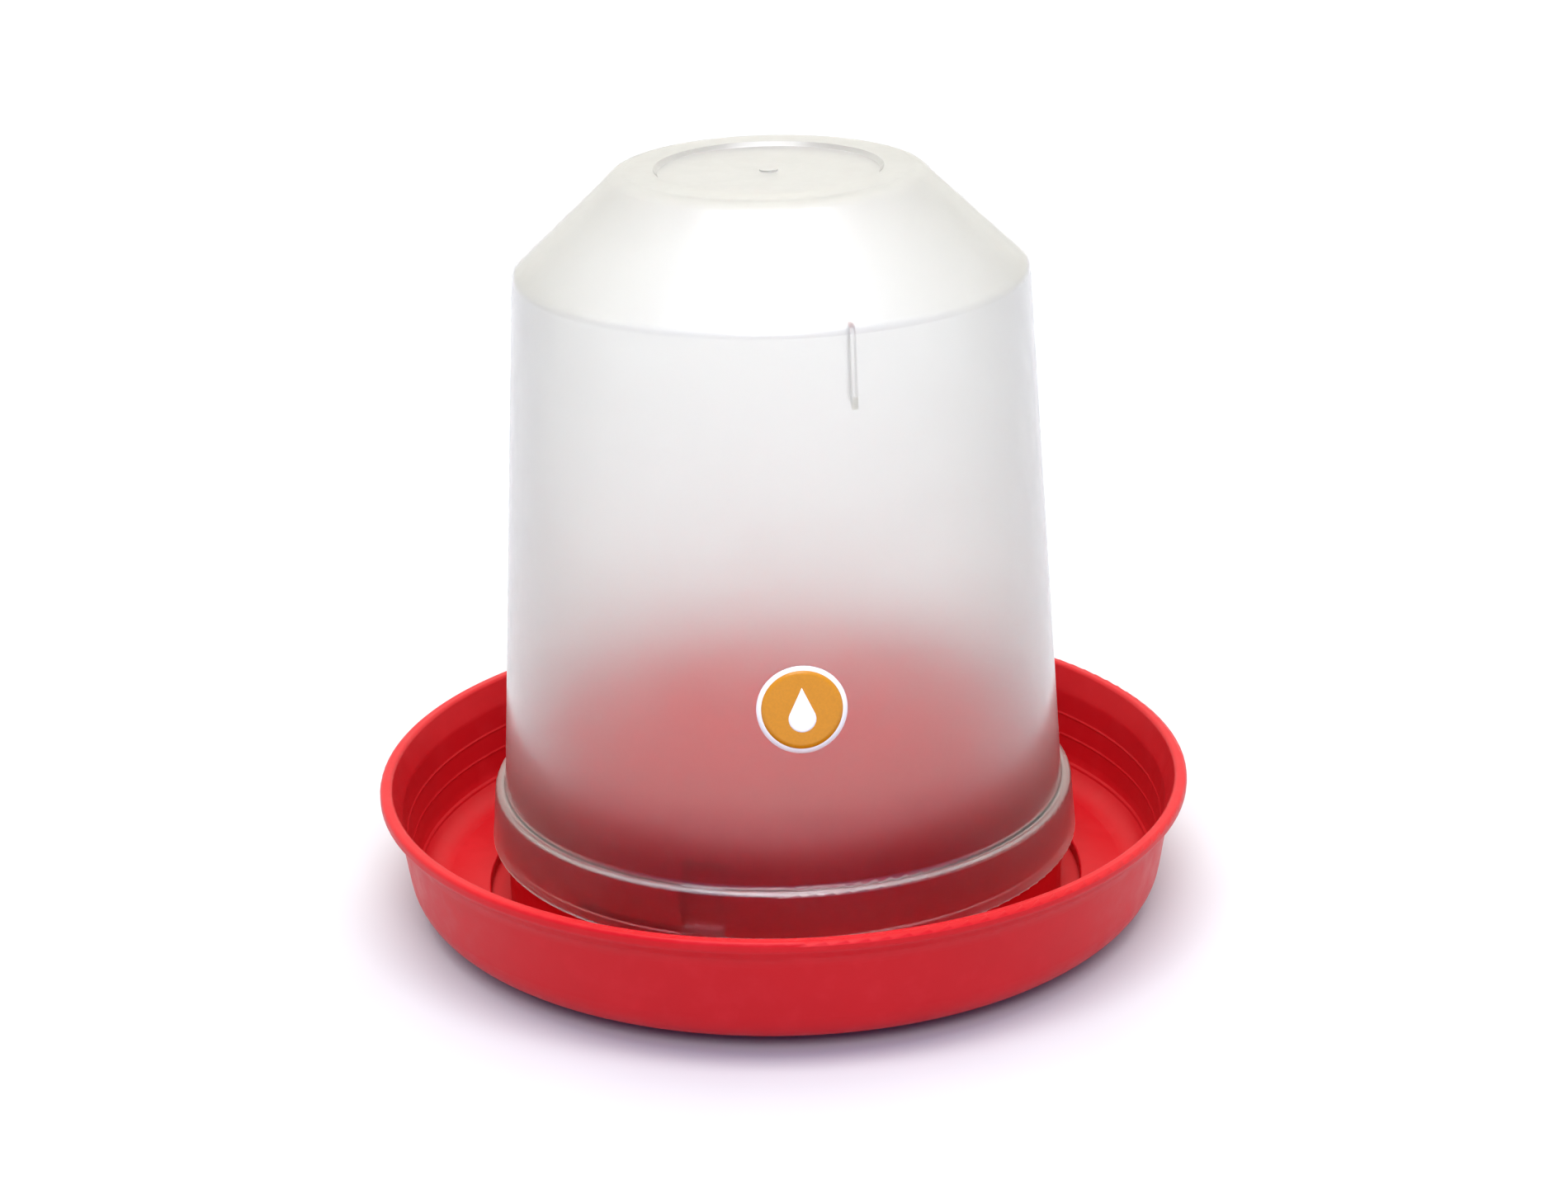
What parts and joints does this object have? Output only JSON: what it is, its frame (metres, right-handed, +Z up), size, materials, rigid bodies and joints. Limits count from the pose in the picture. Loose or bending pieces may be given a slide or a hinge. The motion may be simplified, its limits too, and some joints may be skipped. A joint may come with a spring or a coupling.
{
  "type": "poultry siphon drinker",
  "caption": "Siphon drinker for poultry: a round open dish with a raised platform, and a translucent bell with a coned top that stands in it, held by a bayonet and lifting off for filling.",
  "frame": {"origin": "on the ground under the middle of the dish, on the drinker's axis", "axes": "+Z up along the drinker's axis, -Y towards the front, where the label is, +X to its right"},
  "size_m": [0.28, 0.28, 0.2577],
  "materials": {
    "dish_plastic": "red moulded polypropylene, semi-gloss",
    "bell_plastic": "natural translucent polypropylene, satin",
    "label_film": null
  },
  "bodies": {
    "base": {"base": "dish_plastic"},
    "bell": {"bell": "bell_plastic", "label": "label_film"}
  },
  "joints": [
    {"name": "bell_lift", "type": "slide", "parent": "base", "child": "bell", "axis": [0, 0, 1], "range_m": [0, 0.1]}
  ]
}
